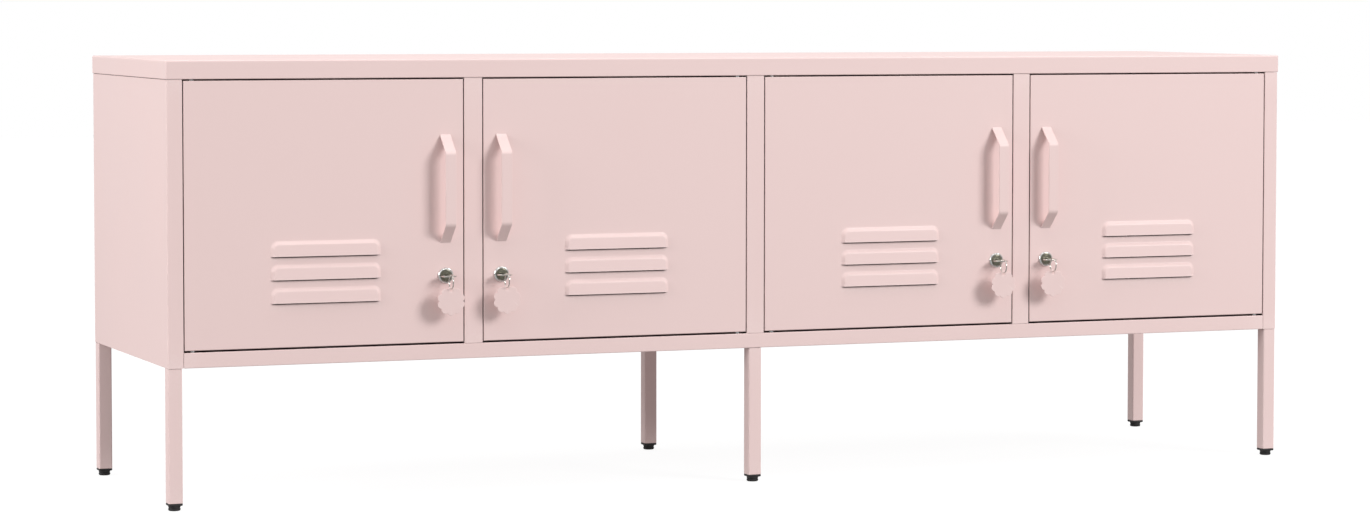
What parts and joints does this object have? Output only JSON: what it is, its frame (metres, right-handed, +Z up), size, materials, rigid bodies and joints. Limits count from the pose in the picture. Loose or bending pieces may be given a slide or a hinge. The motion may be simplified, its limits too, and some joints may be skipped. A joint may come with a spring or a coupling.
{
  "type": "locker cabinet",
  "caption": "Long, low sheet-steel locker cabinet with side-by-side louvred doors, strip handles and cam locks, a folded lid and square legs.",
  "frame": {"origin": "on the floor, under the middle of the whole bounding box", "axes": "+X to the right of someone facing the doors, +Y from the doors to the back, +Z up"},
  "size_m": [1.802, 0.498, 0.64],
  "materials": {
    "powder_coat": "satin blush-pink powder coat with a fine orange peel",
    "tag_enamel": "satin blush-pink enamel",
    "foot_plastic": "black moulded plastic, fine grain",
    "lock_chrome": "bright chrome plate",
    "plug_nickel": "nickel plate, lightly worn",
    "key_steel": "nickel-plated steel, fine brushing",
    "zinc_plate": "bright zinc plate"
  },
  "bodies": {
    "cabinet": {"back_panel": "powder_coat", "divider_1": "powder_coat", "divider_2": "powder_coat", "divider_3": "powder_coat", "door_1_pin_bottom": "zinc_plate", "door_1_pin_top": "zinc_plate", "door_2_pin_bottom": "zinc_plate", "door_2_pin_top": "zinc_plate", "door_3_pin_bottom": "zinc_plate", "door_3_pin_top": "zinc_plate", "door_4_pin_bottom": "zinc_plate", "door_4_pin_top": "zinc_plate", "floor_pan": "powder_coat", "foot_front_left": "foot_plastic", "foot_front_middle": "foot_plastic", "foot_front_right": "foot_plastic", "foot_rear_left": "foot_plastic", "foot_rear_middle": "foot_plastic", "foot_rear_right": "foot_plastic", "left_side_panel": "powder_coat", "leg_front_left": "powder_coat", "leg_front_middle": "powder_coat", "leg_front_right": "powder_coat", "leg_rear_left": "powder_coat", "leg_rear_middle": "powder_coat", "leg_rear_right": "powder_coat", "lid": "powder_coat", "right_side_panel": "powder_coat"},
    "door_1": {"door_1_panel": "powder_coat", "door_1_handle": "powder_coat", "door_1_lock_housing": "lock_chrome"},
    "door_1_lock": {"door_1_lock_plug": "plug_nickel", "door_1_lock_cam": "zinc_plate"},
    "door_1_key": {"door_1_key": "key_steel"},
    "door_1_ring": {"door_1_key_ring": "key_steel"},
    "door_1_tag": {"door_1_key_tag": "tag_enamel"},
    "door_2": {"door_2_panel": "powder_coat", "door_2_handle": "powder_coat", "door_2_lock_housing": "lock_chrome"},
    "door_2_lock": {"door_2_lock_plug": "plug_nickel", "door_2_lock_cam": "zinc_plate"},
    "door_2_key": {"door_2_key": "key_steel"},
    "door_2_ring": {"door_2_key_ring": "key_steel"},
    "door_2_tag": {"door_2_key_tag": "tag_enamel"},
    "door_3": {"door_3_panel": "powder_coat", "door_3_handle": "powder_coat", "door_3_lock_housing": "lock_chrome"},
    "door_3_lock": {"door_3_lock_plug": "plug_nickel", "door_3_lock_cam": "zinc_plate"},
    "door_3_key": {"door_3_key": "key_steel"},
    "door_3_ring": {"door_3_key_ring": "key_steel"},
    "door_3_tag": {"door_3_key_tag": "tag_enamel"},
    "door_4": {"door_4_panel": "powder_coat", "door_4_handle": "powder_coat", "door_4_lock_housing": "lock_chrome"},
    "door_4_lock": {"door_4_lock_plug": "plug_nickel", "door_4_lock_cam": "zinc_plate"},
    "door_4_key": {"door_4_key": "key_steel"},
    "door_4_ring": {"door_4_key_ring": "key_steel"},
    "door_4_tag": {"door_4_key_tag": "tag_enamel"}
  },
  "joints": [
    {"name": "door_1_hinge", "type": "hinge", "parent": "cabinet", "child": "door_1", "pos_m": [-0.863, -0.207, 0.2278], "axis": [0, 0, -1], "range_deg": [0, 110]},
    {"name": "door_1_lock_turn", "type": "hinge", "parent": "door_1", "child": "door_1_lock", "pos_m": [-0.4881, -0.212, 0.325], "axis": [0, 1, 0], "range_deg": [0, 90]},
    {"name": "door_1_key_pull", "type": "slide", "parent": "door_1_lock", "child": "door_1_key", "axis": [0, -1, 0], "range_m": [0, 0.021]},
    {"name": "door_1_ring_swing", "type": "hinge", "parent": "door_1_key", "child": "door_1_ring", "pos_m": [-0.4881, -0.238, 0.325], "axis": [-1, 0, 0], "range_deg": [-5, 50]},
    {"name": "door_1_tag_sway", "type": "hinge", "parent": "door_1_ring", "child": "door_1_tag", "pos_m": [-0.4881, -0.238, 0.307], "axis": [0, 1, 0], "range_deg": [-35, 35]},
    {"name": "door_2_hinge", "type": "hinge", "parent": "cabinet", "child": "door_2", "pos_m": [-0.0278, -0.207, 0.2278], "axis": [0, 0, 1], "range_deg": [0, 78]},
    {"name": "door_2_lock_turn", "type": "hinge", "parent": "door_2", "child": "door_2_lock", "pos_m": [-0.4027, -0.212, 0.325], "axis": [0, -1, 0], "range_deg": [0, 90]},
    {"name": "door_2_key_pull", "type": "slide", "parent": "door_2_lock", "child": "door_2_key", "axis": [0, -1, 0], "range_m": [0, 0.021]},
    {"name": "door_2_ring_swing", "type": "hinge", "parent": "door_2_key", "child": "door_2_ring", "pos_m": [-0.4027, -0.238, 0.325], "axis": [-1, 0, 0], "range_deg": [-5, 50]},
    {"name": "door_2_tag_sway", "type": "hinge", "parent": "door_2_ring", "child": "door_2_tag", "pos_m": [-0.4027, -0.238, 0.307], "axis": [0, 1, 0], "range_deg": [-35, 35]},
    {"name": "door_3_hinge", "type": "hinge", "parent": "cabinet", "child": "door_3", "pos_m": [0.0278, -0.207, 0.2278], "axis": [0, 0, -1], "range_deg": [0, 78]},
    {"name": "door_3_lock_turn", "type": "hinge", "parent": "door_3", "child": "door_3_lock", "pos_m": [0.4027, -0.212, 0.325], "axis": [0, 1, 0], "range_deg": [0, 90]},
    {"name": "door_3_key_pull", "type": "slide", "parent": "door_3_lock", "child": "door_3_key", "axis": [0, -1, 0], "range_m": [0, 0.021]},
    {"name": "door_3_ring_swing", "type": "hinge", "parent": "door_3_key", "child": "door_3_ring", "pos_m": [0.4027, -0.238, 0.325], "axis": [-1, 0, 0], "range_deg": [-5, 50]},
    {"name": "door_3_tag_sway", "type": "hinge", "parent": "door_3_ring", "child": "door_3_tag", "pos_m": [0.4027, -0.238, 0.307], "axis": [0, 1, 0], "range_deg": [-35, 35]},
    {"name": "door_4_hinge", "type": "hinge", "parent": "cabinet", "child": "door_4", "pos_m": [0.863, -0.207, 0.2278], "axis": [0, 0, 1], "range_deg": [0, 110]},
    {"name": "door_4_lock_turn", "type": "hinge", "parent": "door_4", "child": "door_4_lock", "pos_m": [0.4881, -0.212, 0.325], "axis": [0, -1, 0], "range_deg": [0, 90]},
    {"name": "door_4_key_pull", "type": "slide", "parent": "door_4_lock", "child": "door_4_key", "axis": [0, -1, 0], "range_m": [0, 0.021]},
    {"name": "door_4_ring_swing", "type": "hinge", "parent": "door_4_key", "child": "door_4_ring", "pos_m": [0.4881, -0.238, 0.325], "axis": [-1, 0, 0], "range_deg": [-5, 50]},
    {"name": "door_4_tag_sway", "type": "hinge", "parent": "door_4_ring", "child": "door_4_tag", "pos_m": [0.4881, -0.238, 0.307], "axis": [0, 1, 0], "range_deg": [-35, 35]}
  ]
}
